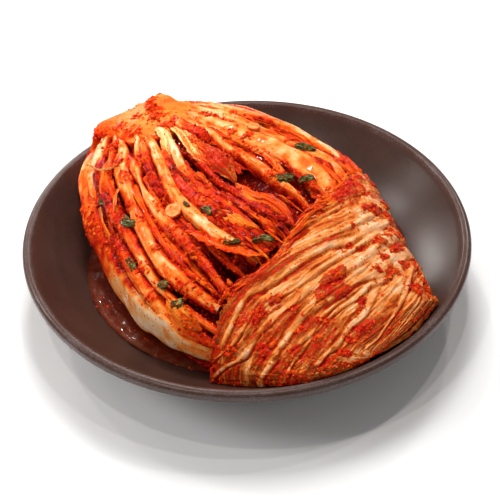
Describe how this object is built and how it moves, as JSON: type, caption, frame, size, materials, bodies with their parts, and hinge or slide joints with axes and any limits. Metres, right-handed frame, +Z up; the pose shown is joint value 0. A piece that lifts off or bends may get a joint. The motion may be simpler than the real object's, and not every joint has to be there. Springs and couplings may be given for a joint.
{
  "type": "dish of kimchi",
  "caption": "Half a head of red pickled napa cabbage, folded under its own outer leaf and served in a wide dark stoneware dish with a little brine.",
  "frame": {"origin": "on the table under the middle of the dish", "axes": "+Z up; the cabbage lies from its core at -X +Y to its fold at +X -Y, about 59 degrees off the X axis"},
  "size_m": [0.28, 0.28, 0.0816],
  "materials": {
    "stoneware": "satin dark brown-grey glaze with fine specks",
    "brine": "clear dark red liquid",
    "chilli_paste": "wet, lumpy, with flakes and seeds",
    "pale_rib": "wet pale cabbage stalk, stained orange",
    "stained_rib": "wet cabbage stalk under thin chilli paste",
    "leaf": "wet translucent wrinkled leaf with pale veins",
    "core": "wet smooth cut cabbage core",
    "scallion": "wet dark green leaf",
    "garlic": "wet stained garlic slice"
  },
  "bodies": {
    "root": {"dish": "stoneware", "brine_left": "brine", "brine_right": "brine", "leaf_bed": "chilli_paste", "stem_core": "core", "rib_outer_left": "pale_rib", "rib_left_low": "stained_rib", "rib_left_high": "stained_rib", "rib_pale_broad": "pale_rib", "rib_orange_long": "stained_rib", "rib_red_short": "stained_rib", "rib_pale_long": "pale_rib", "rib_heart_low": "stained_rib", "rib_heart": "leaf", "rib_shred_top": "leaf", "rib_shred_low": "stained_rib", "rib_bright_edge": "stained_rib", "rib_slab": "pale_rib", "rib_top_orange": "stained_rib", "rib_far_edge": "pale_rib", "rib_back_high": "pale_rib", "rib_back_low": "stained_rib", "wrap_leaf": "leaf", "scallion_1": "scallion", "scallion_2": "scallion", "scallion_3": "scallion", "scallion_4": "scallion", "scallion_5": "scallion", "scallion_6": "scallion", "scallion_7": "scallion", "scallion_8": "scallion", "scallion_9": "scallion", "scallion_10": "scallion", "scallion_11": "scallion", "scallion_12": "scallion", "garlic_1": "garlic", "garlic_2": "garlic"}
  },
  "joints": []
}
